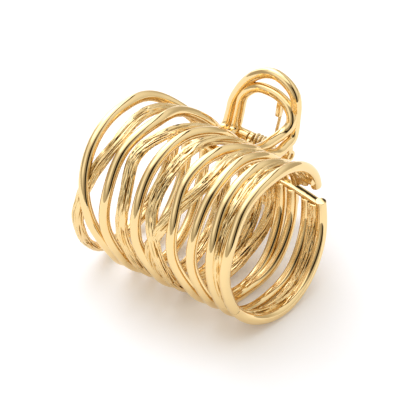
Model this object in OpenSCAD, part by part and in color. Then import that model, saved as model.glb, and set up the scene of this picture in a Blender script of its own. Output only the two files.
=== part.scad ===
// Spiral hair clip: two cast jaws of crossing wires that close into a barrel,
// hinged on a pin at the back, with a looped handle on each jaw and a coil spring.

/* [Barrel] */
// Outer radius of the barrel that the two jaws close into
barrel_r = 25; // [24:0.5:26]
// Length of the upper jaw, over its end wires
upper_length = 59.4; // [58:0.1:61]
// Length of the lower jaw, over its end wires
lower_length = 61.8; // [60:0.1:63]
// Thickness of a polished wire
wire_d = 3.3; // [3:0.1:3.6]
// Width of a bark-textured strand, along the barrel
strand_w = 4.2; // [4:0.1:4.6]
// Thickness of a bark-textured strand, through the wall
strand_t = 2.8; // [2.6:0.1:3]
// Gap between the tips of the two closed jaws
tip_gap = 0.3; // [0.3:0.1:0.5]

/* [Hinge] */
// Distance of the pin behind the barrel's axis
hinge_y = 35; // [34.5:0.5:36]
// Diameter of the hinge pin
pin_d = 1.6; // [1.4:0.1:1.8]
// Outer diameter of a hinge knuckle
knuckle_d = 3.6; // [3.4:0.1:3.8]
// Running clearance round the pin
pin_fit = 0.05; // [0.03:0.01:0.08]
// Clearance between neighbouring knuckles
knuckle_gap = 0.3; // [0.3:0.1:0.4]

/* [Handles] */
// Thickness of a handle strand
handle_d = 3.3; // [3:0.1:3.4]
// Lean of the upper handle, up from level
upper_tilt = 79; // [78:1:80]
// Lean of the lower handle, down from level, so that its loop stands on the table
lower_tilt = 83; // [82:1:84]

/* [Spring] */
// Thickness of the spring's wire
spring_d = 1; // [0.8:0.1:1]
// Mean radius of the spring's coil
coil_r = 1.8; // [1.7:0.1:1.9]
// Length of each spring arm, from the pin
arm_length = 13; // [11:1:14]

/* [Hidden] */

// The clip is drawn round the barrel's axis, then moved so that its box stands
// over the origin.
box_middle = [2.2, 8, -barrel_r];

// Angles run round the barrel from the back, over the top, to the front and under it.
station_step = 30;
ring_step = 12;
wire_sides = 8;
slope_step = 0.05;
mouth = 212;
half_gap = asin(tip_gap / 2 / barrel_r);
upper_first = 0;
upper_end = 18.8;
lower_first = 210;
lower_end = 357.6;

// No two wires end quite level: each ends a little further on than the last.
back_step = 0.4;
tip_step = 0.03;

// Kinds of strand in the tables below.
POLISHED = 0;
BARK = 1;

// Each row is one wire of the upper jaw: its kind, then how deep it lies under the
// barrel's surface, then its place along the barrel, at every station.
upper_wires = [
    // kind, [at 0, 30, 60, 90, 120, 150, 180, 210 degrees] deep, then along
    [POLISHED, [2.0, 0.6, -1.2, -0.6, -0.4, -0.6, 0, 0],
        [-10.5, -13.5, -23.8, -26.5, -27.0, -25.0, -21.0, -15.0]],
    [BARK, [0.6, 0.6, 0.5, 0.4, 0.4, 0.8, 0.4, 0.4],
        [-12.0, -14.5, -18.5, -20.5, -20.5, -23.5, -25.5, -25.5]],
    [POLISHED, [0.4, -0.4, -0.4, 0, 0, 0, 0, 0],
        [-7.0, -9.2, -14.2, -15.0, -17.0, -16.5, -15.5, -11.5]],
    [BARK, [2.0, 2.0, 1.2, 0.6, 0.4, 0.4, 0.4, 0.4],
        [-2.0, -2.0, -4.0, -8.8, -12.8, -10.5, -9.5, -6.0]],
    [POLISHED, [2.0, 1.8, 0.8, 0.2, 0, 0, 0, 0],
        [2.0, 1.0, -0.8, -4.3, -5.8, -5.5, -4.0, 1.0]],
    [BARK, [2.2, 2.0, 1.4, 0.6, 0.4, 0.4, 0.4, 0.4],
        [8.0, 7.0, 5.0, 1.2, 0.0, -0.5, 2.5, 5.5]],
    [POLISHED, [2.2, 2.2, 1.4, 0.4, 0, 0, 0, 0],
        [12.5, 12.0, 11.0, 7.8, 6.0, 7.5, 9.0, 13.5]],
    [BARK, [2.4, 2.4, 2.0, 1.0, 0.6, 0.8, 0.6, 0.6],
        [14.0, 14.0, 13.8, 12.2, 11.5, 6.0, 1.0, 1.0]],
    [POLISHED, [2.0, 2.2, 1.4, 0.4, 0, 0, 0, 0],
        [16.0, 16.8, 17.0, 15.8, 15.5, 15.5, 16.0, 19.0]],
    [POLISHED, [1.5, 2.0, 1.4, 0.4, 0, 0, 0, 0],
        [20.0, 21.6, 22.2, 21.2, 20.8, 22.0, 23.0, 24.5]],
    [BARK, [1.5, 2.0, 1.6, 1.0, 0.8, 0.8, 0.8, 0.8],
        [23.2, 24.0, 24.0, 23.5, 24.0, 24.5, 25.0, 26.0]],
    [POLISHED, [0.2, 0, 0, 0, 0, 0, 0, 0],
        [26.0, 27.3, 27.8, 27.8, 27.2, 28.0, 28.0, 29.0]],
];
// The same for the lower jaw, from the mouth under the barrel to its back.
lower_wires = [
    // kind, [at 210, 240, 270, 300, 330, 360 degrees] deep, then along
    [BARK, [0.4, 0.4, 0.4, 0.4, 0.4, 0.4],
        [-25.5, -26.0, -26.5, -26.5, -26.0, -25.5]],
    [POLISHED, [0, 0, 0, 0, 0, 0],
        [-15.0, -15.5, -17.5, -19.5, -20.5, -21.0]],
    [POLISHED, [0, 0, 0, 0, 0, 0],
        [-11.5, -10.0, -10.5, -12.0, -14.0, -14.5]],
    [BARK, [0.4, 0.4, 0.4, 0.4, 0.4, 0.4],
        [-6.0, -4.5, -3.5, -4.5, -6.0, -7.0]],
    [POLISHED, [0, 0, 0, 0, 0, 0],
        [1.0, 1.5, 2.5, 1.5, 0.5, -0.5]],
    [BARK, [0.6, 0.6, 0.6, 0.6, 0.6, 0.6],
        [1.0, 2.5, 4.0, 6.0, 6.0, 5.0]],
    [BARK, [0.4, 0.4, 0.4, 0.4, 0.4, 0.4],
        [5.5, 6.5, 8.0, 9.5, 11.0, 10.5]],
    [POLISHED, [0, 0, 0, 0, 0, 0],
        [13.5, 14.5, 16.0, 16.0, 14.5, 13.0]],
    [POLISHED, [0, 0, 0, 0, 0, 0],
        [19.0, 18.0, 17.5, 19.0, 18.4, 17.2]],
    [POLISHED, [0, 0, 0, 0, 0, 0],
        [24.5, 24.5, 24.5, 25.0, 23.8, 22.4]],
    [BARK, [0.8, 0.8, 0.8, 0.8, 0.8, 0.8],
        [26.0, 28.0, 29.0, 28.8, 26.8, 25.2]],
    [POLISHED, [0, 0, 0, 0, 0, 0],
        [29.0, 30.5, 31.5, 31.0, 29.6, 27.6]],
];

// The two strands of each handle loop, from one foot round the loop to the other.
// A row is its place along the barrel, out along the handle from the pin, and in
// from the handle towards the barrel.
upper_outer = [
    // x, out, in
    [-15.0, 6.6, 16.0], [-15.0, 2.3, 9.1], [-15.0, 0, 4.1], [-15.0, 1.0, 0.8],
    [-14.7, 5.0, 0], [-14.3, 9.0, 0], [-13.0, 12.7, 0], [-10.8, 16.8, 0],
    [-7.9, 20.3, 0], [-4.4, 22.6, 0], [-1.1, 23.5, 0], [2.0, 23.0, 0],
    [4.9, 21.5, 0], [6.8, 19.3, 0], [7.6, 16.0, 0], [7.7, 12.5, 0],
    [7.9, 9.2, 0.2], [8.2, 6.6, 1.4], [8.5, 5.4, 4.6], [8.6, 4.7, 9.0],
    [8.6, 6.8, 16.0],
];
upper_inner = [
    // x, out, in
    [-12.1, 6.8, 16.2], [-12.0, 2.5, 9.2], [-11.9, 0.2, 4.3], [-11.9, 1.4, 0.9],
    [-11.8, 6.3, 0], [-11.3, 11.5, 0], [-9.3, 14.8, 0], [-6.3, 17.0, 0],
    [-2.4, 17.6, 0], [1.2, 17.2, 0], [4.8, 15.8, 0.4], [7.2, 13.4, 1.2],
    [7.6, 10.8, 2.2], [6.8, 8.8, 4.2], [6.2, 7.6, 8.0], [5.9, 7.0, 12.0],
    [5.8, 7.4, 16.5],
];
lower_outer = [
    // x, out, in
    [-14.5, 1.0, 10.7], [-14.5, 3.5, 8.5], [-14.5, 9.0, 4.5], [-13.8, 13.0, 1.5],
    [-11.8, 16.5, 0], [-7.9, 20.3, 0], [-4.4, 22.6, 0], [-1.1, 23.5, 0],
    [2.0, 23.0, 0], [4.9, 21.5, 0], [6.8, 19.3, 0], [7.5, 16.0, 0.3],
    [7.8, 12.5, 2.0], [8.0, 9.0, 4.8], [8.0, 3.5, 8.5], [8.0, 1.0, 10.7],
];
lower_inner = [
    // x, out, in
    [-11.7, 1.3, 10.6], [-11.6, 3.2, 8.6], [-11.4, 8.0, 5.1], [-11.0, 12.0, 2.5],
    [-8.8, 15.5, 0.6], [-5.5, 18.0, 0], [-2.0, 19.2, 0], [1.5, 19.3, 0],
    [3.9, 18.5, 0], [5.2, 16.0, 0.6], [5.3, 12.5, 2.5], [4.8, 8.5, 5.2],
    [4.7, 3.2, 8.6], [4.6, 1.3, 10.6],
];
handle_steps = 2;
handle_sides = 8;

// Bars along the barrel that tie the wires of each jaw together at its back.
rail_r = 1.4;
rail_steps = 3;
upper_rail = [
    // x, y, z
    [-16.5, 19.5, 9.9], [28.0, 19.5, 9.9],
];
lower_rail = [
    // x, y, z
    [-26.0, 24.0, -0.9], [10.0, 24.1, 0], [15.0, 24.1, -0.3], [20.0, 24.0, -1.2],
    [28.0, 23.8, -2.4],
];

// Spans of the knuckles along the pin, from the middle of the hinge.
hinge_x = -0.5;
left_upper = [-10.8, -6.6];
left_lower = [left_upper[1] + knuckle_gap, -4.9];
right_lower = [4.5, 6.3];
right_upper = [right_lower[1] + knuckle_gap, 8.6];
web_t = 2.2;
lower_web_lean = 190;
lower_web_reach = 11;
upper_web_lean = 90;
upper_web_reach = 6;
bore_d = pin_d + 2 * pin_fit;
pin_from = -9.2;
pin_to = 8.2;
end_play = 0.2;
round_fn = 48;
knuckle_fn = 22;
knuckle_turn = 5;

// The spring's coil, from the middle of the hinge, and its arms.
coil_from = -4.1;
coil_pitch = 1.2;
coil_turns = 4;
coil_rings = 14;
spring_sides = 6;
arm_drift = 1.4;

// Tabs on the handles for the spring's arms: their width, and their place in from
// the handle's middle.
tab_w = 1.5;
tab_in = [-1, 0.6];
upper_tab = [10.6, 16.5];
lower_tab = [11.5, 17.5];
upper_arm_x = coil_from + coil_pitch * coil_turns + arm_drift;

function between(a, b, c, d, u) =
    0.5 * (2 * b + (c - a) * u + (2 * a - 5 * b + 4 * c - d) * u * u
        + (3 * b - a - 3 * c + d) * u * u * u);

// A smooth curve through a list of values, at step s along the list.
function curve(values, s) =
    let (last = len(values) - 1, i = max(0, min(last - 1, floor(s))))
    between(values[max(0, i - 1)], values[i], values[i + 1],
        values[min(last, i + 2)], s - i);

function smooth(rows, steps) =
    [for (i = [0 : (len(rows) - 1) * steps]) curve(rows, i / steps)];

function unit(v) = v / norm(v);

function along(path, i) =
    unit(path[min(len(path) - 1, i + 1)] - path[max(0, i - 1)]);

// Directions square to a path, carried along it without a twist.
function carried(path, up, i = 0) =
    i == len(path) ? [] :
    let (t = along(path, i), u = unit(up - t * (up * t)))
    concat([u], carried(path, u, i + 1));

// A closed skin over rings of points, one ring after another.
module skin(points, sides) {
    n = len(points) / sides;
    walls = [for (i = [0 : n - 2], k = [0 : sides - 1])
        [i * sides + k, i * sides + (k + 1) % sides,
            (i + 1) * sides + (k + 1) % sides, (i + 1) * sides + k]];
    start_face = [for (k = [sides - 1 : -1 : 0]) k];
    end_face = [for (k = [0 : sides - 1]) (n - 1) * sides + k];
    polyhedron(points, concat(walls, [start_face, end_face]));
}

// A round tube along a path, its rings square to it.
module tube(path, up, r, sides) {
    ups = carried(path, up);
    skin([for (i = [0 : len(path) - 1])
        let (side = cross(along(path, i), ups[i]))
        for (k = [0 : sides - 1])
            path[i] + side * r * cos(360 * k / sides) + ups[i] * r * sin(360 * k / sides)],
        sides);
}

// One wire of a jaw. Its rings lie in planes through the barrel's axis, so that the
// jaws' tips meet flat.
module wire(row, first, from, to) {
    half_w = (row[0] == BARK ? strand_w : wire_d) / 2;
    half_t = (row[0] == BARK ? strand_t : wire_d) / 2;
    steps = round((to - from) / ring_step);
    skin([for (i = [0 : steps])
        let (a = from + (to - from) * i / steps, s = (a - first) / station_step,
            centre_r = barrel_r - half_t - curve(row[1], s),
            lean = (curve(row[2], s + slope_step) - curve(row[2], s - slope_step))
                / (centre_r * 2 * slope_step * station_step * PI / 180),
            wide = half_w * sqrt(1 + lean * lean))
        for (k = [0 : wire_sides - 1])
            let (u = 360 * k / wire_sides, r = centre_r + half_t * sin(u))
            [curve(row[2], s) - wide * cos(u), r * cos(a), r * sin(a)]],
        wire_sides);
}

module strand(rows, tilt) {
    path = [for (r = smooth(rows, handle_steps))
        [r[0], hinge_y + r[1] * cos(tilt) - r[2] * sin(tilt),
            r[1] * sin(tilt) + r[2] * cos(tilt)]];
    tube(path, [1, 0.1, 0], handle_d / 2, handle_sides);
}

module rail(ends) {
    tube(ends, [0, 0, 1], rail_r, wire_sides);
}

module on_pin(from) {
    translate([hinge_x + from, hinge_y, 0])
    rotate([0, 90, 0])
    children();
}

module knuckle(span) {
    on_pin(span[0])
    rotate([0, 0, knuckle_turn])
    cylinder(h = span[1] - span[0], d = knuckle_d, $fn = knuckle_fn);
}

// A flat web from a knuckle to the cast body, reaching out at the given lean.
module web(span, lean, reach) {
    translate([hinge_x + span[0], hinge_y, 0])
    rotate([lean, 0, 0])
    translate([0, 0, -web_t / 2])
    cube([span[1] - span[0], reach, web_t]);
}

module pin_bore(from, to) {
    on_pin(from) cylinder(h = to - from, d = bore_d, $fn = round_fn);
}

// A tab behind a handle's inner strand, over a span out along the handle.
module tab(x, span, tilt) {
    translate([hinge_x + x - tab_w / 2, hinge_y, 0])
    rotate([tilt, 0, 0])
    translate([0, span[0], tab_in[0]])
    cube([tab_w, span[1] - span[0], tab_in[1] - tab_in[0]]);
}

module upper_cast() {
    resize([upper_length, 0, 0])
    union() {
        for (i = [0 : len(upper_wires) - 1])
            wire(upper_wires[i], upper_first, upper_end - back_step * i,
                mouth - half_gap - tip_step * i);
        strand(upper_outer, upper_tilt);
        strand(upper_inner, upper_tilt);
        rail(upper_rail);
        knuckle(left_upper);
        knuckle(right_upper);
        web(right_upper, upper_web_lean, upper_web_reach);
        tab(upper_arm_x, upper_tab, upper_tilt);
    }
}

module lower_cast() {
    resize([lower_length, 0, 0])
    union() {
        for (i = [0 : len(lower_wires) - 1])
            wire(lower_wires[i], lower_first, mouth + half_gap + tip_step * i,
                lower_end + back_step * i);
        rail(smooth(lower_rail, rail_steps));
        knuckle(left_lower);
        knuckle(right_lower);
        web(left_lower, lower_web_lean, lower_web_reach);
        web(right_lower, lower_web_lean, lower_web_reach);
        mirror([0, 0, 1]) {
            strand(lower_outer, lower_tilt);
            strand(lower_inner, lower_tilt);
            tab(coil_from, lower_tab, lower_tilt);
        }
    }
}

module upper_jaw() {
    color("gold")
    translate(-box_middle)
    difference() {
        upper_cast();
        pin_bore(pin_from - end_play, right_upper[1] + 1);
    }
}

module lower_jaw() {
    color("goldenrod")
    translate(-box_middle)
    difference() {
        lower_cast();
        pin_bore(left_lower[0] - 1, right_lower[1] + 1);
    }
}

module hinge_pin() {
    color("silver")
    translate(-box_middle)
    on_pin(pin_from) cylinder(h = pin_to - pin_from, d = pin_d, $fn = round_fn);
}

// A torsion spring: an arm up from the lower handle, the coil, and an arm out along
// the upper handle.
module spring() {
    start = 90 - lower_tilt;
    sweep = 360 * coil_turns - (180 - upper_tilt - lower_tilt);
    steps = coil_turns * coil_rings;
    coil = [for (i = [0 : steps])
        let (a = start + sweep * i / steps)
        [coil_from + coil_pitch * coil_turns * i / steps, coil_r * cos(a), coil_r * sin(a)]];
    first_arm = [coil_from, arm_length * cos(lower_tilt), -arm_length * sin(lower_tilt)];
    last_arm = [arm_drift, arm_length * cos(upper_tilt), arm_length * sin(upper_tilt)];
    path = concat([coil[0] + first_arm - [coil_from, 0, 0]], coil,
        [coil[steps] + last_arm]);
    color("darkgoldenrod")
    translate(-box_middle)
    translate([hinge_x, hinge_y, 0])
    tube(path, [1, 0, 0.01], spring_d / 2, spring_sides);
}

upper_jaw();
lower_jaw();
hinge_pin();
spring();
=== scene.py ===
# Spiral hair clip: two cast jaws of crossing wires with looped handles, a hinge pin and
# a coil spring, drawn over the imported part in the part's own frame.
import math

import bpy
from mathutils import Matrix, Vector, noise


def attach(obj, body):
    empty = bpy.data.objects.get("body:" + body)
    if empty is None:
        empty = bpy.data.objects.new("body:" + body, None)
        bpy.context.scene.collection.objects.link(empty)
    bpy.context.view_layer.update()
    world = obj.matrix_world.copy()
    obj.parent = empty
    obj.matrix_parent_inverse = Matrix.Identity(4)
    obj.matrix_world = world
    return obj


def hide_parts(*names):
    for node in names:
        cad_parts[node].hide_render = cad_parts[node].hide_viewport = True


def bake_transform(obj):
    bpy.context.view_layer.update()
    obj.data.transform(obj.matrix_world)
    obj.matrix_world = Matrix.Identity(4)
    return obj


bl_info = {
    "name": "Spiral hair clip",
    "version": (1, 0),
    "blender": (4, 5, 0),
    "location": "View3D > Sidebar > Hair clip",
    "description": "Builds the wires, handles, hinge and spring of a gold-plated claw clip",
    "category": "Add Mesh",
}

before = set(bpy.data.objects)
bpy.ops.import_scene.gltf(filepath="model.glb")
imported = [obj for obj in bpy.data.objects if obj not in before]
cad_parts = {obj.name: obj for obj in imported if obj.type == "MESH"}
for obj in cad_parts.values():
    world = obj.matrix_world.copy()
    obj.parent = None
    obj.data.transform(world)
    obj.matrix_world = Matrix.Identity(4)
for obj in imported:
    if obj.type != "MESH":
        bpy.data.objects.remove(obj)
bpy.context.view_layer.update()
MM = 0.001

# The barrel's axis in the frame: the clip is described in millimetres round that axis,
# X along it, Y towards the hinge and Z up.
AXIS_PLACE = Vector((-2.2, -8.0, 25.0))

# Angles run round the barrel from the back, over the top, to the front and under it.
STATION_STEP = 30
MOUTH = 212
UPPER_FIRST, LOWER_FIRST = 0, 210
# The mouth moves by so many degrees from each wire to the next, and no two tips are level.
TIP_STEP = 0.03

# Where each wire ends at the back, in degrees. The lower jaw's stop inside its rail.
UPPER_ENDS = (18.8, 18.4, 18.0, 17.6, 17.2, 16.8, 16.4, 16.0, 15.6, 15.2, 18.3, 14.4)
LOWER_ENDS = (359.4, 359.6, 360.1, 360.7, 361.2, 361.6, 361.6, 361.2, 360.0, 357.7, 356.6, 360.2)

POLISHED = "polished"
BARK = "bark"

# Each row is one wire of a jaw: its kind, then how deep it lies under the barrel's
# surface and its place along the barrel, at every station of 30 degrees.
UPPER_WIRES = [
    # kind, deep at 0, 30, 60, 90, 120, 150, 180, 210 degrees, then along
    (POLISHED, (2.0, 0.6, -1.2, -0.6, -0.4, -0.6, 0, 0),
        (-10.5, -13.5, -23.8, -26.5, -27.0, -25.0, -21.0, -15.0)),
    (BARK, (0.6, 0.6, 0.5, 0.4, 0.4, 0.8, 0.4, 0.4),
        (-12.0, -14.5, -18.5, -20.5, -20.5, -23.5, -25.5, -25.5)),
    (POLISHED, (0.4, -0.4, -0.4, 0, 0, 0, 0, 0),
        (-7.0, -9.2, -14.2, -15.0, -17.0, -16.5, -15.5, -11.5)),
    (BARK, (2.0, 2.0, 1.2, 0.6, 0.4, 0.4, 0.4, 0.4),
        (-2.0, -2.0, -4.0, -8.8, -12.8, -10.5, -9.5, -6.0)),
    (POLISHED, (2.0, 1.8, 0.8, 0.2, 0, 0, 0, 0),
        (2.0, 1.0, -0.8, -4.3, -5.8, -5.5, -4.0, 1.0)),
    (BARK, (2.2, 2.0, 1.4, 0.6, 0.4, 0.4, 0.4, 0.4),
        (8.0, 7.0, 5.0, 1.2, 0.0, -0.5, 2.5, 5.5)),
    (POLISHED, (2.2, 2.2, 1.4, 0.4, 0, 0, 0, 0),
        (12.5, 12.0, 11.0, 7.8, 6.0, 7.5, 9.0, 13.5)),
    (BARK, (2.4, 2.4, 2.0, 1.0, 0.6, 0.8, 0.6, 0.6),
        (14.0, 14.0, 13.8, 12.2, 11.5, 6.0, 1.0, 1.0)),
    (POLISHED, (2.0, 2.2, 1.4, 0.4, 0, 0, 0, 0),
        (16.0, 16.8, 17.0, 15.8, 15.5, 15.5, 16.0, 19.0)),
    (POLISHED, (1.5, 2.0, 1.4, 0.4, 0, 0, 0, 0),
        (20.0, 21.6, 22.2, 21.2, 20.8, 22.0, 23.0, 24.5)),
    (BARK, (1.5, 2.0, 1.6, 1.0, 0.8, 0.8, 0.8, 0.8),
        (23.2, 24.0, 24.0, 23.5, 24.0, 24.5, 25.0, 26.0)),
    (POLISHED, (0.2, 0, 0, 0, 0, 0, 0, 0),
        (26.0, 27.3, 27.8, 27.8, 27.2, 28.0, 28.0, 29.0)),
]
LOWER_WIRES = [
    # kind, deep at 210, 240, 270, 300, 330, 360 degrees, then along
    (BARK, (0.4,) * 6, (-25.5, -26.0, -26.5, -26.5, -26.0, -25.5)),
    (POLISHED, (0,) * 6, (-15.0, -15.5, -17.5, -19.5, -20.5, -21.0)),
    (POLISHED, (0,) * 6, (-11.5, -10.0, -10.5, -12.0, -14.0, -14.5)),
    (BARK, (0.4,) * 6, (-6.0, -4.5, -3.5, -4.5, -6.0, -7.0)),
    (POLISHED, (0,) * 6, (1.0, 1.5, 2.5, 1.5, 0.5, -0.5)),
    (BARK, (0.6,) * 6, (1.0, 2.5, 4.0, 6.0, 6.0, 5.0)),
    (BARK, (0.4,) * 6, (5.5, 6.5, 8.0, 9.5, 11.0, 10.5)),
    (POLISHED, (0,) * 6, (13.5, 14.5, 16.0, 16.0, 14.5, 13.0)),
    (POLISHED, (0,) * 6, (19.0, 18.0, 17.5, 19.0, 18.4, 17.2)),
    (POLISHED, (0,) * 6, (24.5, 24.5, 24.5, 25.0, 23.8, 22.4)),
    (BARK, (0.8,) * 6, (26.0, 28.0, 29.0, 28.8, 26.8, 25.2)),
    (POLISHED, (0,) * 6, (29.0, 30.5, 31.5, 31.0, 29.6, 27.6)),
]

# The strands of each handle loop. A point is its place along the barrel, out along the
# handle from the pin, and in from the handle towards the barrel.
UPPER_STRANDS = [
    [
        (-15.0, 6.6, 16.0), (-15.0, 2.3, 9.1), (-15.0, 0, 4.1), (-15.0, 1.0, 0.8),
        (-14.7, 5.0, 0), (-14.3, 9.0, 0), (-13.0, 12.7, 0), (-10.8, 16.8, 0),
        (-7.9, 20.3, 0), (-4.4, 22.6, 0), (-1.1, 23.5, 0), (2.0, 23.0, 0),
        (4.9, 21.5, 0), (6.8, 19.3, 0), (7.6, 16.0, 0), (7.7, 12.5, 0),
        (7.9, 9.2, 0.2), (8.2, 6.6, 1.4), (8.5, 5.4, 4.6), (8.6, 4.7, 9.0),
        (8.6, 6.8, 16.0),
    ],
    [
        (-12.1, 6.8, 16.2), (-12.0, 2.5, 9.2), (-11.9, 0.2, 4.3), (-11.9, 1.4, 0.9),
        (-11.8, 6.3, 0), (-11.3, 11.5, 0), (-9.3, 14.8, 0), (-6.3, 17.0, 0),
        (-2.4, 17.6, 0), (1.2, 17.2, 0), (4.8, 15.8, 0.4), (7.2, 13.4, 1.2),
        (7.6, 10.8, 2.2), (6.8, 8.8, 4.2), (6.2, 7.6, 8.0), (5.9, 7.0, 12.0),
        (5.8, 7.4, 16.5),
    ],
]
LOWER_STRANDS = [
    [
        (-14.5, 1.0, 10.7), (-14.5, 3.5, 8.5), (-14.5, 9.0, 4.5), (-13.8, 13.0, 1.5),
        (-11.8, 16.5, 0), (-7.9, 20.3, 0), (-4.4, 22.6, 0), (-1.1, 23.5, 0),
        (2.0, 23.0, 0), (4.9, 21.5, 0), (6.8, 19.3, 0), (7.5, 16.0, 0.3),
        (7.8, 12.5, 2.0), (8.0, 9.0, 4.8), (8.0, 3.5, 8.5), (8.0, 1.0, 10.7),
    ],
    [
        (-11.7, 1.3, 10.6), (-11.6, 3.2, 8.6), (-11.4, 8.0, 5.1), (-11.0, 12.0, 2.5),
        (-8.8, 15.5, 0.6), (-5.5, 18.0, 0), (-2.0, 19.2, 0), (1.5, 19.3, 0),
        (3.9, 18.5, 0), (5.2, 16.0, 0.6), (5.3, 12.5, 2.5), (4.8, 8.5, 5.2),
        (4.7, 3.2, 8.6), (4.6, 1.3, 10.6),
    ],
]

# Bars along the barrel that tie the wires of each jaw together at its back.
UPPER_RAIL = [(-16.5, 19.5, 9.9), (28.0, 19.5, 9.9)]
# The lower one is a flat strip.
LOWER_RAIL = [
    (-26.0, 24.0, -0.2), (-14.0, 24.0, 0.2), (-2.0, 24.1, 0.5), (8.0, 24.1, 0.6),
    (15.0, 24.1, 0.3), (21.0, 24.0, -0.6), (26.6, 23.8, -1.5),
]
STRIP_HALF_WIDTH, STRIP_HALF_HEIGHT = 1.4, 0.7
# The power that squares off the strip's section, which 1 would leave an ellipse.
STRIP_POWER = 0.45

# The hinge, in millimetres along it from its middle.
HINGE_X = -0.5
LEFT_UPPER = (-10.8, -6.6)
LEFT_LOWER = (-6.3, -4.9)
RIGHT_LOWER = (4.5, 6.3)
RIGHT_UPPER = (6.6, 8.6)
# The upper left knuckle's bore is blind, with a floor this thick.
LEFT_FLOOR = 1.4
# Each web's lean in degrees and its reach from the pin.
UPPER_WEB = (90, 6.0)
LOWER_WEB = (190, 11.0)
WEB_THICKNESS = 2.2
PIN_SPAN = (-9.2, 8.2)
COIL_FROM = -4.1
COIL_PITCH = 1.2
COIL_TURNS = 4
COIL_TO = COIL_FROM + COIL_PITCH * COIL_TURNS
# How far the upper arm drifts along the hinge on its way to its tab.
ARM_DRIFT = 1.4
# The spring's tabs: how wide, how far in from the handle, and how far out from the pin.
TAB_WIDTH = 1.5
TAB_IN = (-1.0, 0.6)
UPPER_TAB = (10.6, 16.5)
LOWER_TAB = (11.5, 17.5)

# How much the edges of the hinge's pieces are rounded, in millimetres.
KNUCKLE_ROUNDING = 0.22
WEB_ROUNDING = 0.45
TAB_ROUNDING = 0.4
PIN_ROUNDING = 0.3

# How finely the round pieces are drawn.
KNUCKLE_SIDES = 48
PIN_SIDES = 32
HANDLE_SIDES = 28
HANDLE_STEPS = 8
RAIL_SIDES = 20
STRIP_SIDES = 32
STRIP_STEPS = 6
SPRING_SIDES = 12
COIL_RINGS = 32

# Edges that turn by more than this stay sharp in the shading.
SMOOTH_ANGLE = math.radians(40)
BARK_SMOOTH_ANGLE = math.radians(60)
SPRING_SMOOTH_ANGLE = math.radians(50)

JAWS = [("upper", "Upper", "The jaw that turns"), ("lower", "Lower", "The jaw that stays")]


def hex_colour(text):
    """A linear colour from its sRGB hex value."""
    channels = [int(text[i:i + 2], 16) / 255 for i in (1, 3, 5)]
    linear = [c / 12.92 if c <= 0.04045 else ((c + 0.055) / 1.055) ** 2.4 for c in channels]
    return (*linear, 1.0)


class ClipSizes(bpy.types.PropertyGroup):
    """The clip's sizes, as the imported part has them."""

    barrel_radius: bpy.props.FloatProperty(
        name="Barrel radius", description="Outer radius of the closed barrel",
        default=0.025, unit="LENGTH")
    wire_diameter: bpy.props.FloatProperty(
        name="Wire", description="Thickness of a polished wire",
        default=0.0033, unit="LENGTH")
    strand_width: bpy.props.FloatProperty(
        name="Strand width", description="Width of a bark-textured strand, along the barrel",
        default=0.0042, unit="LENGTH")
    strand_thickness: bpy.props.FloatProperty(
        name="Strand thickness", description="Thickness of a bark-textured strand",
        default=0.0028, unit="LENGTH")
    tip_gap: bpy.props.FloatProperty(
        name="Tip gap", description="Gap between the closed jaws' tips, drawn nearly shut",
        default=0.0001, unit="LENGTH")
    groove_depth: bpy.props.FloatProperty(
        name="Groove depth", description="Depth of the long grooves of the bark",
        default=0.0005, unit="LENGTH")
    handle_diameter: bpy.props.FloatProperty(
        name="Handle strand", description="Thickness of a handle's strand",
        default=0.0033, unit="LENGTH")
    upper_tilt: bpy.props.FloatProperty(
        name="Upper lean", description="Lean of the upper handle, up from level",
        default=math.radians(79), subtype="ANGLE")
    lower_tilt: bpy.props.FloatProperty(
        name="Lower lean", description="Lean of the lower handle, down from level",
        default=math.radians(83), subtype="ANGLE")
    hinge_y: bpy.props.FloatProperty(
        name="Pin place", description="Distance of the pin behind the barrel's axis",
        default=0.035, unit="LENGTH")
    knuckle_diameter: bpy.props.FloatProperty(
        name="Knuckle", description="Outer diameter of a hinge knuckle",
        default=0.0036, unit="LENGTH")
    pin_diameter: bpy.props.FloatProperty(
        name="Pin", description="Diameter of the hinge pin",
        default=0.0016, unit="LENGTH")
    bore_diameter: bpy.props.FloatProperty(
        name="Bore", description="Diameter of the knuckles' bore",
        default=0.0017, unit="LENGTH")
    rail_radius: bpy.props.FloatProperty(
        name="Rail", description="Radius of the bar that ties the upper wires",
        default=0.0014, unit="LENGTH")
    spring_diameter: bpy.props.FloatProperty(
        name="Spring wire", description="Thickness of the spring's wire",
        default=0.001, unit="LENGTH")
    coil_radius: bpy.props.FloatProperty(
        name="Coil", description="Mean radius of the spring's coil",
        default=0.0018, unit="LENGTH")
    spring_arm: bpy.props.FloatProperty(
        name="Spring arm", description="Length of each spring arm, from the pin",
        default=0.013, unit="LENGTH")


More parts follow.
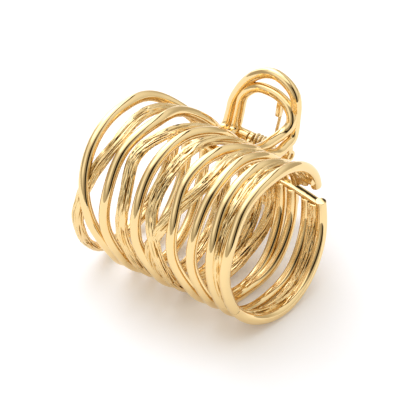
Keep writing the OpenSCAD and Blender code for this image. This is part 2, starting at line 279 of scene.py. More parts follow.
class ClipColours(bpy.types.PropertyGroup):
    """The clip's colours."""

    gold: bpy.props.FloatVectorProperty(
        name="Gold", description="Pale yellow gold plate of the polished wires",
        default=hex_colour("#F0D39A"), subtype="COLOR", size=4, min=0, max=1)
    # Painted shade: a darker gold that the bark's grooves are coloured with, where shade falls.
    groove_shade_gold: bpy.props.FloatVectorProperty(
        name="Deep gold", description="Darker plate down in the grooves of the bark",
        default=hex_colour("#B08B4C"), subtype="COLOR", size=4, min=0, max=1)
    spring_gold: bpy.props.FloatVectorProperty(
        name="Spring", description="Plate of the pin and the spring",
        default=hex_colour("#E2C794"), subtype="COLOR", size=4, min=0, max=1)
    table: bpy.props.FloatVectorProperty(
        name="Table", description="Paper that the clip lies on",
        default=hex_colour("#FDFBF8"), subtype="COLOR", size=4, min=0, max=1)
    studio_shade: bpy.props.FloatVectorProperty(
        name="Studio shade", description="Warm tone of the studio's unlit parts",
        default=hex_colour("#E2CBA4"), subtype="COLOR", size=4, min=0, max=1)
    studio_white: bpy.props.FloatVectorProperty(
        name="Studio white", description="White of the tent's walls",
        default=hex_colour("#FFFFFF"), subtype="COLOR", size=4, min=0, max=1)
    softbox: bpy.props.FloatVectorProperty(
        name="Softbox", description="Cool white of the softboxes",
        default=hex_colour("#EAEFFC"), subtype="COLOR", size=4, min=0, max=1)


# Places.

def sizes():
    return bpy.context.scene.clip_sizes


def colours():
    return bpy.context.scene.clip_colours


def placed(x, y, z):
    """A point of the frame, in metres, from millimetres round the barrel's axis."""
    return (Vector((x, y, z)) + AXIS_PLACE) * MM


def table_value(values, s):
    """A smooth curve through a row of the table, at step s along it."""
    last = len(values) - 1
    i = max(0, min(last - 1, math.floor(s)))
    a, b, c, d = (values[max(0, i - 1)], values[i], values[i + 1], values[min(last, i + 2)])
    u = s - i
    return 0.5 * (2 * b + (c - a) * u + (2 * a - 5 * b + 4 * c - d) * u * u
                  + (3 * b - a - 3 * c + d) * u * u * u)


def smooth_path(rows, steps):
    """Points of a smooth curve through rows, with so many steps between two of them."""
    columns = list(zip(*rows))
    count = (len(rows) - 1) * steps
    return [tuple(table_value(c, i / steps) for c in columns) for i in range(count + 1)]


def handle_point(row, tilt, side):
    """A point of a handle, in millimetres. Side is 1 above the hinge and -1 below it."""
    along, out, inward = row
    y = sizes().hinge_y / MM + out * math.cos(tilt) - inward * math.sin(tilt)
    return along, y, side * (out * math.sin(tilt) + inward * math.cos(tilt))


# Tools.

def deselect():
    bpy.ops.object.select_all(action="DESELECT")


def only(obj):
    deselect()
    obj.select_set(True)
    bpy.context.view_layer.objects.active = obj


def joined(name, parts):
    """One object from several, each of which keeps its own place."""
    deselect()
    for part in parts:
        part.select_set(True)
    bpy.context.view_layer.objects.active = parts[0]
    bpy.ops.object.join()
    piece = bpy.context.object
    piece.name = piece.data.name = name
    return piece


# Points closer together than this, in metres, are merged.
SEAM = 1e-6


def close_and_turn_out(piece):
    """Merges the seams, closes the ends and turns every face outwards."""
    only(piece)
    bpy.ops.object.mode_set(mode="EDIT")
    bpy.ops.mesh.select_all(action="SELECT")
    bpy.ops.mesh.remove_doubles(threshold=SEAM)
    bpy.ops.mesh.fill_holes(sides=0)
    bpy.ops.mesh.select_all(action="SELECT")
    bpy.ops.mesh.normals_make_consistent(inside=False)
    bpy.ops.object.mode_set(mode="OBJECT")


def finish_piece(piece, body, node, material, smooth_angle):
    """Shades the piece, gives it its finish and lets it stand for its CAD node."""
    only(piece)
    bpy.ops.object.shade_smooth_by_angle(angle=smooth_angle)
    piece.data.materials.clear()
    piece.data.materials.append(material)
    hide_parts(node)
    if body:
        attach(piece, body)


def round_edges(piece, width):
    """Rounds a piece's sharp edges by a width in millimetres."""
    only(piece)
    bevel = piece.modifiers.new("rounded edges", "BEVEL")
    bevel.width = width * MM
    bevel.segments = 3
    bevel.limit_method = "ANGLE"
    bevel.angle_limit = SMOOTH_ANGLE
    bpy.ops.object.modifier_apply(modifier=bevel.name)


def rolled_grid(name, columns, sides, place):
    """A tube: a flat grid with a column of vertices for every station, rolled up."""
    deselect()
    bpy.ops.mesh.primitive_grid_add(x_subdivisions=len(columns) - 1, y_subdivisions=sides, size=2)
    tube = bpy.context.object
    tube.name = tube.data.name = name
    across = len(columns) - 1
    for vertex in tube.data.vertices:
        column = round((vertex.co.x + 1) / 2 * across)
        side = round((vertex.co.y + 1) / 2 * sides) % sides
        vertex.co = place(column, 2 * math.pi * side / sides)
    return tube


def round_bar(name, points, radius, sides):
    """A round bar along points given in millimetres, with flat ends."""
    deselect()
    bpy.ops.curve.primitive_nurbs_path_add()
    path = bpy.context.object
    path.name = name
    path.data.splines.clear()
    spline = path.data.splines.new("POLY")
    spline.points.add(len(points) - 1)
    for target, point in zip(spline.points, points):
        target.co = (*placed(*point), 1)
    path.data.dimensions = "3D"
    path.data.twist_mode = "MINIMUM"
    path.data.bevel_depth = radius
    path.data.bevel_resolution = sides // 4 - 1
    path.data.use_fill_caps = True
    bpy.ops.object.convert(target="MESH")
    bar = bpy.context.object
    close_and_turn_out(bar)
    return bar


def flat_bar(name, points):
    """A flat strip with rounded edges along points given in millimetres."""
    def squared(value):
        return math.copysign(abs(value) ** STRIP_POWER, value)

    def place(column, around):
        x, y, z = points[column]
        return placed(x, y + STRIP_HALF_WIDTH * squared(math.cos(around)),
                      z + STRIP_HALF_HEIGHT * squared(math.sin(around)))

    bar = rolled_grid(name, points, STRIP_SIDES, place)
    close_and_turn_out(bar)
    return bar


# Wires.

# The rounding of a wire's two ends, in millimetres.
BACK_ROUNDING = 0.15
TIP_ROUNDING = 0.08
# How far apart a wire's rings are, in millimetres, and how many sides it has.
WIRE_STEP = 0.9
BARK_STEP = 0.55
WIRE_SIDES = 28
BARK_SIDES = 108
# Where rings lie within a rounded end, as shares of its rounding.
ROUNDING_SHARES = (0, 0.1, 0.3, 0.6, 1)
# How far on either side of a ring the wire's slope is measured, in stations.
SLOPE_STEP = 0.05

# The bark: how wide its grooves are in the noise that draws them, how deep the finer ones
# and the knots go, and how the grooves turn round the strand along its length.
GROOVE_WIDTH = 0.24
FINE_GROOVE_WIDTH = 0.26
FINE_GROOVE_SHARE = 0.5
KNOT_SHARE = 0.15
BARK_TWIST = 0.02
BARK_SWAY = 0.5
SEED_STEP = 11.3


def rounded_stations(rounding):
    return [rounding * share for share in ROUNDING_SHARES]


def end_stations(length, step, roundings):
    """Distances along a wire in millimetres, close together where its ends round off."""
    start, end = roundings
    count = round((length - start - end) / step)
    middle = [start + (length - start - end) * i / count for i in range(1, count)]
    return (rounded_stations(start) + middle
            + [length - d for d in reversed(rounded_stations(end))])


def end_inset(distance, rounding):
    """How far a wire's outline draws in near its end."""
    if distance >= rounding:
        return 0
    return rounding - math.sqrt(rounding ** 2 - (rounding - distance) ** 2)


def bark_relief(around, along, seed):
    """How far the bark lies under a strand's outline, as a share of the groove depth."""
    turn = around + BARK_TWIST * along + BARK_SWAY * noise.noise((seed, along * 0.05, 0.5))

    def bark_noise(scale, along_scale, seed_scale):
        return noise.noise((math.cos(turn) * scale, math.sin(turn) * scale,
                            along * along_scale + seed * seed_scale))

    # Long grooves that break off, finer ones between them, and soft knots.
    broken = min(1, max(0, 0.75 + 2.5 * bark_noise(1.1, 0.2, 3.1)))
    groove = max(0, 1 - abs(bark_noise(2.0, 0.06, 1)) / GROOVE_WIDTH) * broken
    fine = max(0, 1 - abs(bark_noise(3.0, 0.08, 5.7)) / FINE_GROOVE_WIDTH)
    knot = 0.5 - bark_noise(0.9, 0.3, 7.3)
    return max(0, groove + FINE_GROOVE_SHARE * fine + KNOT_SHARE * knot)


def wire_mesh(name, row, first, start, end, roundings, seed):
    """One wire of a jaw. Its rings lie in planes through the barrel's axis, so that the
    jaws' tips meet flat."""
    kind, depths, places = row
    bark = kind == BARK
    width, thickness, step, sides = (
        (sizes().strand_width, sizes().strand_thickness, BARK_STEP, BARK_SIDES) if bark
        else (sizes().wire_diameter, sizes().wire_diameter, WIRE_STEP, WIRE_SIDES))
    half_w, half_t = width / 2 / MM, thickness / 2 / MM
    barrel = sizes().barrel_radius / MM
    length = math.radians(end - start) * (barrel - half_t)
    stations = end_stations(length, step, roundings)
    depth = sizes().groove_depth / MM
    rings = []
    for station in stations:
        angle = start + (end - start) * station / length
        s = (angle - first) / STATION_STEP
        centre_r = barrel - half_t - table_value(depths, s)
        slope = (table_value(places, s + SLOPE_STEP)
                 - table_value(places, s - SLOPE_STEP)) / (2 * SLOPE_STEP)
        lean = slope / (centre_r * math.radians(STATION_STEP))
        rings.append((table_value(places, s), centre_r, math.radians(angle),
                      math.sqrt(1 + lean * lean), station))

    reliefs = []

    def place(column, around):
        x, centre_r, angle, widening, station = rings[column]
        inset = max(end_inset(station, roundings[0]),
                    end_inset(length - station, roundings[1]))
        if bark:
            reliefs.append(bark_relief(around, station, seed))
            inset += depth * reliefs[-1]
        w = (half_w - inset) * widening
        r = centre_r + (half_t - inset) * math.sin(around)
        return placed(x - w * math.cos(around), r * math.cos(angle), r * math.sin(angle))

    wire = rolled_grid(name, stations, sides, place)
    # Each point keeps how deep it lies in the bark, which the bark's finish turns into painted
    # shade in the grooves.
    if bark:
        groove = wire.data.attributes.new("groove", "FLOAT", "POINT")
        groove.data.foreach_set("value", reliefs)
    return wire


def jaw_wires(jaw, kind):
    """Every wire of one kind on a jaw, as one object."""
    half_gap = math.degrees(math.asin(sizes().tip_gap / 2 / sizes().barrel_radius))
    upper = jaw == "upper"
    parts = []
    for i, row in enumerate(UPPER_WIRES if upper else LOWER_WIRES):
        if row[0] != kind:
            continue
        if upper:
            first, roundings = UPPER_FIRST, (BACK_ROUNDING, TIP_ROUNDING)
            span = (UPPER_ENDS[i], MOUTH - half_gap - TIP_STEP * i)
        else:
            first, roundings = LOWER_FIRST, (TIP_ROUNDING, BACK_ROUNDING)
            span = (MOUTH + half_gap - TIP_STEP * i, LOWER_ENDS[i])
        parts.append(wire_mesh(f"{jaw}_{kind}_{i}", row, first, *span, roundings, SEED_STEP * i))
    piece = joined(f"{jaw}_{kind}_wires", parts)
    close_and_turn_out(piece)
    return piece


# Hinge.

# A face of the knuckle's cylinder is an end when its normal lies this much along X.
END_NORMAL = 0.9
# A web starts inside the knuckle's wall, at this share of its radius.
WEB_START = 0.7


def knuckle(name, span, floor=0):
    """A knuckle with its bore: a cylinder whose two ends are inset and bridged, or one
    whose inner end is inset and sunk to a floor of so many millimetres."""
    x = HINGE_X + (span[0] + span[1]) / 2
    deselect()
    bpy.ops.mesh.primitive_cylinder_add(
        vertices=KNUCKLE_SIDES, radius=sizes().knuckle_diameter / 2, depth=(span[1] - span[0]) * MM,
        location=placed(x, sizes().hinge_y / MM, 0), rotation=(0, math.pi / 2, 0))
    barrel = bpy.context.object
    barrel.name = name
    bpy.ops.object.transform_apply(location=True, rotation=True, scale=True)
    bpy.ops.object.mode_set(mode="EDIT")
    bpy.ops.mesh.select_mode(type="FACE")
    bpy.ops.mesh.select_all(action="DESELECT")
    bpy.ops.object.mode_set(mode="OBJECT")
    for face in barrel.data.polygons:
        along = face.normal.x
        face.select = along > END_NORMAL or (along < -END_NORMAL and not floor)
    bpy.ops.object.mode_set(mode="EDIT")
    wall = (sizes().knuckle_diameter - sizes().bore_diameter) / 2
    bpy.ops.mesh.inset(thickness=wall, use_individual=True)
    if floor:
        sunk = (floor - (span[1] - span[0])) * MM
        bpy.ops.mesh.extrude_region_move(TRANSFORM_OT_translate={"value": (sunk, 0, 0)})
    else:
        bpy.ops.mesh.bridge_edge_loops()
    bpy.ops.object.mode_set(mode="OBJECT")
    round_edges(barrel, KNUCKLE_ROUNDING)
    return barrel


def web(name, span, lean, reach):
    """A flat web from a knuckle's wall to the cast body."""
    start = sizes().knuckle_diameter / MM / 2 * WEB_START
    middle = (start + reach) / 2
    angle = math.radians(lean)
    deselect()
    bpy.ops.mesh.primitive_cube_add(
        size=1, location=placed(HINGE_X + (span[0] + span[1]) / 2,
                                sizes().hinge_y / MM + middle * math.cos(angle),
                                middle * math.sin(angle)),
        rotation=(angle, 0, 0),
        scale=((span[1] - span[0]) * MM, (reach - start) * MM, WEB_THICKNESS * MM))
    plate = bpy.context.object
    plate.name = name
    bpy.ops.object.transform_apply(location=True, rotation=True, scale=True)
    round_edges(plate, WEB_ROUNDING)
    return plate


def spring_tab(name, x, span, tilt, side):
    """A tab behind a handle's inner strand that the spring's arm bears on."""
    out = (span[0] + span[1]) / 2
    inward = (TAB_IN[0] + TAB_IN[1]) / 2
    deselect()
    bpy.ops.mesh.primitive_cube_add(
        size=1, location=placed(*handle_point((HINGE_X + x, out, inward), tilt, side)),
        rotation=(side * tilt, 0, 0),
        scale=(TAB_WIDTH * MM, (span[1] - span[0]) * MM, (TAB_IN[1] - TAB_IN[0]) * MM))
    tab = bpy.context.object
    tab.name = name
    bpy.ops.object.transform_apply(location=True, rotation=True, scale=True)
    round_edges(tab, TAB_ROUNDING)
    return tab


# Finishes.

def add_node(tree, kind, settings=None, links=None):
    """Adds a node with its settings, and links its inputs to outputs. An input goes by its
    name, or by its number where several share a name."""
    node = tree.nodes.new(kind)
    for key, value in (settings or {}).items():
        if isinstance(key, int) or key in node.inputs:
            node.inputs[key].default_value = value
        else:
            setattr(node, key, value)
    for key, output in (links or {}).items():
        tree.links.new(output, node.inputs[key])
    return node


# The inputs of a mix node by number, for its two values and its two colours, and the
# output that holds the mixed colour.
VALUE_A, VALUE_B, COLOUR_A, COLOUR_B = 2, 3, 6, 7
MIXED_COLOUR = 2


def new_material(name):
    material = bpy.data.materials.new(name)
    material.use_nodes = True
    material.node_tree.nodes.clear()
    return material, material.node_tree


def polished_gold_plate(name):
    """Electroplated gold over a buffed casting: a clear mirror with faint waves and
    hairlines left by the buff."""
    material, tree = new_material(name)
    place = add_node(tree, "ShaderNodeTexCoord").outputs["Object"]
    # Buffing waves are about 4 mm across, and the hairlines 0.3 mm, coarser than life to show.
    waves = add_node(tree, "ShaderNodeTexNoise", {"Scale": 250, "Detail": 2}, {"Vector": place})
    hairs = add_node(tree, "ShaderNodeTexNoise", {"Scale": 3300, "Detail": 3}, {"Vector": place})
    bump = add_node(tree, "ShaderNodeBump", {"Strength": 0.12, "Distance": 0.0003},
                    {"Height": waves.outputs["Fac"]})
    rough = add_node(tree, "ShaderNodeMapRange", {"To Min": 0.03, "To Max": 0.08},
                     {"Value": hairs.outputs["Fac"]})
    shader = add_node(tree, "ShaderNodeBsdfPrincipled",
                      {"Base Color": colours().gold, "Metallic": 1.0},
                      {"Roughness": rough.outputs["Result"], "Normal": bump.outputs["Normal"]})
    add_node(tree, "ShaderNodeOutputMaterial", None, {"Surface": shader.outputs["BSDF"]})
    return material


def bark_gold_plate(name):
    """Gold plate over a cast bark texture, with painted shade: the plate is coloured
    darker down in the grooves, where shade falls, and the ridges keep the plain gold."""
    material, tree = new_material(name)
    place = add_node(tree, "ShaderNodeTexCoord").outputs["Object"]
    # The grain of the casting is about 0.25 mm, as coarse as the render can show.
    grain = add_node(tree, "ShaderNodeTexNoise", {"Scale": 4000, "Detail": 3}, {"Vector": place})
    blotch = add_node(tree, "ShaderNodeTexNoise", {"Scale": 600, "Detail": 3}, {"Vector": place})
    bump = add_node(tree, "ShaderNodeBump", {"Strength": 0.12, "Distance": 0.0001},
                    {"Height": grain.outputs["Fac"]})
    # Painted shade: the deeper a point lies in a groove, the more of the darker gold it takes.
    groove = add_node(tree, "ShaderNodeAttribute", {"attribute_name": "groove"})
    share = add_node(tree, "ShaderNodeMapRange", {"From Min": 0.6, "From Max": 1.1},
                     {"Value": groove.outputs["Fac"]})
    colour = add_node(tree, "ShaderNodeMix",
                      {"data_type": "RGBA", COLOUR_A: colours().gold,
                       COLOUR_B: colours().groove_shade_gold}, {"Factor": share.outputs["Result"]})
    rough = add_node(tree, "ShaderNodeMapRange", {"To Min": 0.05, "To Max": 0.16},
                     {"Value": blotch.outputs["Fac"]})
    shader = add_node(tree, "ShaderNodeBsdfPrincipled", {"Metallic": 1.0},
                      {"Base Color": colour.outputs[MIXED_COLOUR],
                       "Roughness": rough.outputs["Result"],
                       "Normal": bump.outputs["Normal"]})
    add_node(tree, "ShaderNodeOutputMaterial", None, {"Surface": shader.outputs["BSDF"]})
    return material


def drawn_wire_plate(name):
    """Gold flash over drawn steel wire: fine draw lines make it a little duller than the
    cast jaws."""
    material, tree = new_material(name)
    place = add_node(tree, "ShaderNodeTexCoord").outputs["Object"]
    lines = add_node(tree, "ShaderNodeTexNoise", {"Scale": 2500, "Detail": 2}, {"Vector": place})
    rough = add_node(tree, "ShaderNodeMapRange", {"To Min": 0.14, "To Max": 0.28},
                     {"Value": lines.outputs["Fac"]})
    shader = add_node(tree, "ShaderNodeBsdfPrincipled",
                      {"Base Color": colours().spring_gold, "Metallic": 1.0},
                      {"Roughness": rough.outputs["Result"]})
    add_node(tree, "ShaderNodeOutputMaterial", None, {"Surface": shader.outputs["BSDF"]})
    return material


def matte_paper(name):
    """Matte white paper: an even diffuse white."""
    material, tree = new_material(name)
    place = add_node(tree, "ShaderNodeTexCoord").outputs["Object"]
    fibres = add_node(tree, "ShaderNodeTexNoise", {"Scale": 900, "Detail": 3}, {"Vector": place})
    bump = add_node(tree, "ShaderNodeBump", {"Strength": 0.03, "Distance": 0.0001},
                    {"Height": fibres.outputs["Fac"]})
    shader = add_node(tree, "ShaderNodeBsdfPrincipled",
                      {"Base Color": colours().table, "Roughness": 0.9,
                       "Emission Color": colours().table, "Emission Strength": 0.12},
                      {"Normal": bump.outputs["Normal"]})
    add_node(tree, "ShaderNodeOutputMaterial", None, {"Surface": shader.outputs["BSDF"]})
    return material


FINISHES = {
    "polished gold plate": polished_gold_plate,
    "bark textured gold plate": bark_gold_plate,
    "gold flashed drawn wire": drawn_wire_plate,
    "matte paper": matte_paper,
}


def finish_named(name):
    """The finish of this name, made when it is first asked for."""
    return bpy.data.materials.get(name) or FINISHES[name](name)


# Operators.

class JawOperator:
    """What the operators for a part of a jaw have in common."""

    bl_options = {"REGISTER", "UNDO"}
    jaw: bpy.props.EnumProperty(name="Jaw", description="Which jaw", items=JAWS)

    def finish_jaw_piece(self, piece, finish, smooth_angle):
        finish_piece(piece, self.jaw, self.jaw + "_jaw", finish_named(finish), smooth_angle)
        return {"FINISHED"}


class CLIP_OT_polished_wires(JawOperator, bpy.types.Operator):
    """Adds the polished wires of a jaw"""
    bl_idname = "clip.polished_wires"
    bl_label = "Polished wires"

    def execute(self, context):
        piece = jaw_wires(self.jaw, POLISHED)
        return self.finish_jaw_piece(piece, "polished gold plate", SMOOTH_ANGLE)


class CLIP_OT_bark_strands(JawOperator, bpy.types.Operator):
    """Adds the bark-textured strands of a jaw"""
    bl_idname = "clip.bark_strands"
    bl_label = "Bark strands"

    def execute(self, context):
        piece = jaw_wires(self.jaw, BARK)
        return self.finish_jaw_piece(piece, "bark textured gold plate", BARK_SMOOTH_ANGLE)


class CLIP_OT_handle(JawOperator, bpy.types.Operator):
    """Adds the two strands of a jaw's handle loop"""
    bl_idname = "clip.handle"
    bl_label = "Handle"

    def execute(self, context):
        upper = self.jaw == "upper"
        tilt = sizes().upper_tilt if upper else sizes().lower_tilt
        parts = []
        for i, rows in enumerate(UPPER_STRANDS if upper else LOWER_STRANDS):
            points = [handle_point(row, tilt, 1 if upper else -1)
                      for row in smooth_path(rows, HANDLE_STEPS)]
            parts.append(round_bar(f"{self.jaw}_strand_{i}", points,
                                   sizes().handle_diameter / 2, HANDLE_SIDES))
        piece = joined(self.jaw + "_handle", parts)
        return self.finish_jaw_piece(piece, "polished gold plate", SMOOTH_ANGLE)


class CLIP_OT_hinge_half(JawOperator, bpy.types.Operator):
    """Adds a jaw's rail, knuckles, webs and spring tab"""
    bl_idname = "clip.hinge_half"
    bl_label = "Hinge half"

    def execute(self, context):
        if self.jaw == "upper":
            parts = [
                round_bar("upper_rail", UPPER_RAIL, sizes().rail_radius, RAIL_SIDES),
                knuckle("upper_left_knuckle", LEFT_UPPER, LEFT_FLOOR),
                knuckle("upper_right_knuckle", RIGHT_UPPER),
                web("upper_web", RIGHT_UPPER, *UPPER_WEB),
                spring_tab("upper_tab", COIL_TO + ARM_DRIFT, UPPER_TAB, sizes().upper_tilt, 1),
            ]
        else:
            parts = [
                flat_bar("lower_rail", smooth_path(LOWER_RAIL, STRIP_STEPS)),
                knuckle("lower_left_knuckle", LEFT_LOWER),
                knuckle("lower_right_knuckle", RIGHT_LOWER),
                web("lower_left_web", LEFT_LOWER, *LOWER_WEB),
                web("lower_right_web", RIGHT_LOWER, *LOWER_WEB),
                spring_tab("lower_tab", COIL_FROM, LOWER_TAB, sizes().lower_tilt, -1),
            ]
        piece = joined(self.jaw + "_hinge_half", parts)
        return self.finish_jaw_piece(piece, "polished gold plate", SMOOTH_ANGLE)


class CLIP_OT_pin(bpy.types.Operator):
    """Adds the hinge pin"""
    bl_idname = "clip.pin"
    bl_label = "Hinge pin"
    bl_options = {"REGISTER", "UNDO"}

    def execute(self, context):
        x = HINGE_X + (PIN_SPAN[0] + PIN_SPAN[1]) / 2
        deselect()
        bpy.ops.mesh.primitive_cylinder_add(
            vertices=PIN_SIDES, radius=sizes().pin_diameter / 2,
            depth=(PIN_SPAN[1] - PIN_SPAN[0]) * MM,
            location=placed(x, sizes().hinge_y / MM, 0), rotation=(0, math.pi / 2, 0))
        piece = bpy.context.object
        piece.name = piece.data.name = "pin_rod"
        bpy.ops.object.transform_apply(location=True, rotation=True, scale=True)
        round_edges(piece, PIN_ROUNDING)
        finish_piece(piece, "lower", "hinge_pin", finish_named("gold flashed drawn wire"),
                     SMOOTH_ANGLE)
        return {"FINISHED"}


class CLIP_OT_spring(bpy.types.Operator):
    """Adds the coil spring, whose turns wind up as the jaws open"""
    bl_idname = "clip.spring"
    bl_label = "Spring"
    bl_options = {"REGISTER", "UNDO"}

    def execute(self, context):
        lower, upper = sizes().lower_tilt, sizes().upper_tilt
        radius, arm = sizes().coil_radius / MM, sizes().spring_arm / MM
        start = math.pi / 2 - lower
        sweep = 2 * math.pi * COIL_TURNS - (math.pi - upper - lower)
        steps = COIL_TURNS * COIL_RINGS
        coil = [(COIL_FROM + COIL_PITCH * COIL_TURNS * i / steps,
                 radius * math.cos(start + sweep * i / steps),
                 radius * math.sin(start + sweep * i / steps)) for i in range(steps + 1)]
        first = Vector(coil[0]) + arm * Vector((0, math.cos(lower), -math.sin(lower)))
        last = Vector(coil[-1]) + Vector(
            (ARM_DRIFT, arm * math.cos(upper), arm * math.sin(upper)))
        points = [(HINGE_X + x, sizes().hinge_y / MM + y, z)
                  for x, y, z in [first, *coil, last]]
        piece = round_bar("spring_coil", points, sizes().spring_diameter / 2, SPRING_SIDES)
        finish_piece(piece, None, "spring", finish_named("gold flashed drawn wire"),
                     SPRING_SMOOTH_ANGLE)
        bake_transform(piece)
        return {"FINISHED"}


# The photograph's view: straight lines of sight, 116 mm across its 400 pixels.
VIEW_AZIMUTH, VIEW_ELEVATION = 307.1, 38.08
VIEW_WIDTH = 0.116
PHOTO_SIDE = 400
AXIS_PIXEL = (196.3, 205.5)
CAMERA_DISTANCE = 0.5
CAMERA_NEAR = 0.01
TABLE_SIDE = 4


def view_axes(azimuth, elevation):
    """The direction at so many degrees round from +X and up from level, and what is right
    and up for an eye there that looks back at the clip."""
    azimuth, elevation = math.radians(azimuth), math.radians(elevation)
    outward = Vector((math.cos(elevation) * math.cos(azimuth),
                      math.cos(elevation) * math.sin(azimuth), math.sin(elevation)))
    right = Vector((-math.sin(azimuth), math.cos(azimuth), 0))
    return outward, right, outward.cross(right)


def camera_target(view_right, view_up):
    """The point of the clip that the middle of the photograph shows."""
    scale = VIEW_WIDTH / PHOTO_SIDE
    right = (PHOTO_SIDE / 2 - AXIS_PIXEL[0]) * scale
    up = (AXIS_PIXEL[1] - PHOTO_SIDE / 2) * scale
    return placed(0, 0, 0) + view_right * right + view_up * up


# The white studio as the clip sees it. A panel is a lit softbox or a dark opening: the
# degrees of its middle round from +X and up from level, its half width, half height and
# soft edge in degrees, and its brightness.
PANELS = [
    # round, up, half width, half height, edge, brightness
    (0, 90, 24, 24, 14, 1.5),
    (162, 64, 28, 20, 10, 2.4),
    (148, 30, 18, 38, 8, 2.4),
    (154, 44, 9, 24, 10, 3.6),
    (240, 3, 62, 11, 8, 0.66),
    (205, 12, 24, 16, 10, 0.56),
    (252, 32, 14, 12, 10, 1.15),
    (80, 9, 26, 16, 22, 0.62),
    (322, 30, 32, 38, 12, 0.48),
    (331, 24, 13, 32, 4, 0.02),
    (46, 67, 62, 4, 3, 0.05),
]
# The tent's brightness from the horizon down, and straight up.
SKY_LOW, SKY_HIGH = 0.77, 1.13
# A ray meets a panel only when it goes at least this much the panel's way.
FACING = 0.02
# Light brighter than the first of these takes on the softboxes' tone, fully at the second.
SOFTBOX_FROM, SOFTBOX_FULL = 1.2, 2.2


def panel_mask(tree, ray, azimuth, elevation, half_width, half_height, edge):
    """1 where a ray meets the panel and 0 beside it, with a soft edge."""
    outward, right, up = view_axes(azimuth, elevation)
    depth = add_node(tree, "ShaderNodeVectorMath", {"operation": "DOT_PRODUCT", 1: outward},
                     {0: ray}).outputs["Value"]
    mask = add_node(tree, "ShaderNodeMath", {"operation": "GREATER_THAN", 1: FACING},
                    {0: depth})
    for direction, half in ((right, half_width), (up, half_height)):
        across = add_node(tree, "ShaderNodeVectorMath",
                          {"operation": "DOT_PRODUCT", 1: direction}, {0: ray})
        slope = add_node(tree, "ShaderNodeMath", {"operation": "DIVIDE"},
                         {0: across.outputs["Value"], 1: depth})
        offset = add_node(tree, "ShaderNodeMath", {"operation": "ABSOLUTE"},
                          {0: slope.outputs[0]})
        inside = add_node(tree, "ShaderNodeMapRange", {
            "interpolation_type": "SMOOTHSTEP",
            "From Min": math.tan(math.radians(half + edge / 2)),
            "From Max": math.tan(math.radians(half - edge / 2))}, {"Value": offset.outputs[0]})
        mask = add_node(tree, "ShaderNodeMath", {"operation": "MULTIPLY"},
                        {0: mask.outputs[0], 1: inside.outputs["Result"]})
    return mask.outputs[0]


def studio_world():
    """A white tent, brighter overhead, with its softboxes and the dark gap for the camera."""
    world = bpy.data.worlds.new("studio")
    world.use_nodes = True
    tree = world.node_tree
    tree.nodes.clear()
    ray = add_node(tree, "ShaderNodeTexCoord").outputs["Generated"]
    height = add_node(tree, "ShaderNodeSeparateXYZ", None, {"Vector": ray}).outputs["Z"]
    light = add_node(tree, "ShaderNodeMapRange", {"To Min": SKY_LOW, "To Max": SKY_HIGH},
                     {"Value": height}).outputs["Result"]
    for *shape, brightness in PANELS:
        mix = add_node(tree, "ShaderNodeMix", {"data_type": "FLOAT", VALUE_B: brightness},
                       {"Factor": panel_mask(tree, ray, *shape), VALUE_A: light})
        light = mix.outputs[0]
    warm = add_node(tree, "ShaderNodeMix",
                    {"data_type": "RGBA", COLOUR_A: colours().studio_shade,
                     COLOUR_B: colours().studio_white}, {"Factor": light})
    bright = add_node(tree, "ShaderNodeMapRange",
                      {"From Min": SOFTBOX_FROM, "From Max": SOFTBOX_FULL}, {"Value": light})
    cool = add_node(tree, "ShaderNodeMix", {"data_type": "RGBA", COLOUR_B: colours().softbox},
                    {"Factor": bright.outputs["Result"], COLOUR_A: warm.outputs[MIXED_COLOUR]})
    background = add_node(tree, "ShaderNodeBackground", None,
                          {"Strength": light, "Color": cool.outputs[MIXED_COLOUR]})
    add_node(tree, "ShaderNodeOutputWorld", None, {"Surface": background.outputs[0]})
    return world


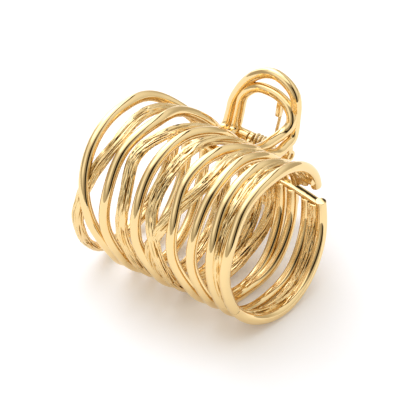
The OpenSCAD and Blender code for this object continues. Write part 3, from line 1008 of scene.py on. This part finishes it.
class CLIP_OT_stage(bpy.types.Operator):
    """Adds the table, the lights and the camera"""
    bl_idname = "clip.stage"
    bl_label = "Stage"
    bl_options = {"REGISTER", "UNDO"}

    def execute(self, context):
        deselect()
        bpy.ops.mesh.primitive_plane_add(size=TABLE_SIDE)
        table = bpy.context.object
        table.name = "table"
        table.data.materials.append(finish_named("matte paper"))
        context.scene.world = studio_world()
        back, right, up = view_axes(VIEW_AZIMUTH, VIEW_ELEVATION)
        deselect()
        bpy.ops.object.camera_add()
        camera = bpy.context.object
        camera.name = "camera"
        camera.data.type = "ORTHO"
        camera.data.ortho_scale = VIEW_WIDTH
        turn = Matrix((right, up, back)).transposed()
        camera.rotation_mode = "QUATERNION"
        camera.rotation_quaternion = turn.to_quaternion()
        camera.location = camera_target(right, up) + back * CAMERA_DISTANCE
        camera.data.clip_start = CAMERA_NEAR
        context.scene.camera = camera
        context.scene.view_settings.view_transform = "Standard"
        return {"FINISHED"}


class CLIP_PT_panel(bpy.types.Panel):
    """Lists the clip's operators, sizes and colours"""
    bl_label = "Hair clip"
    bl_idname = "CLIP_PT_panel"
    bl_space_type = "VIEW_3D"
    bl_region_type = "UI"
    bl_category = "Hair clip"

    def draw(self, context):
        for jaw, _, _ in JAWS:
            for name in JAW_OPERATORS:
                self.layout.operator("clip." + name).jaw = jaw
        for name in ("pin", "spring", "stage"):
            self.layout.operator("clip." + name)
        for group in (context.scene.clip_sizes, context.scene.clip_colours):
            column = self.layout.column()
            for key in group.__annotations__:
                column.prop(group, key)


JAW_OPERATORS = ("polished_wires", "bark_strands", "handle", "hinge_half")
CLASSES = (
    ClipSizes, ClipColours, CLIP_OT_polished_wires, CLIP_OT_bark_strands, CLIP_OT_handle,
    CLIP_OT_hinge_half, CLIP_OT_pin, CLIP_OT_spring, CLIP_OT_stage, CLIP_PT_panel,
)


def register():
    for cls in CLASSES:
        bpy.utils.register_class(cls)
    bpy.types.Scene.clip_sizes = bpy.props.PointerProperty(type=ClipSizes)
    bpy.types.Scene.clip_colours = bpy.props.PointerProperty(type=ClipColours)


def unregister():
    del bpy.types.Scene.clip_colours
    del bpy.types.Scene.clip_sizes
    for cls in reversed(CLASSES):
        bpy.utils.unregister_class(cls)


def main():
    register()
    for jaw, _, _ in JAWS:
        for name in JAW_OPERATORS:
            getattr(bpy.ops.clip, name)(jaw=jaw)
    bpy.ops.clip.pin()
    bpy.ops.clip.spring()
    bpy.ops.clip.stage()


if __name__ == "__main__":
    main()
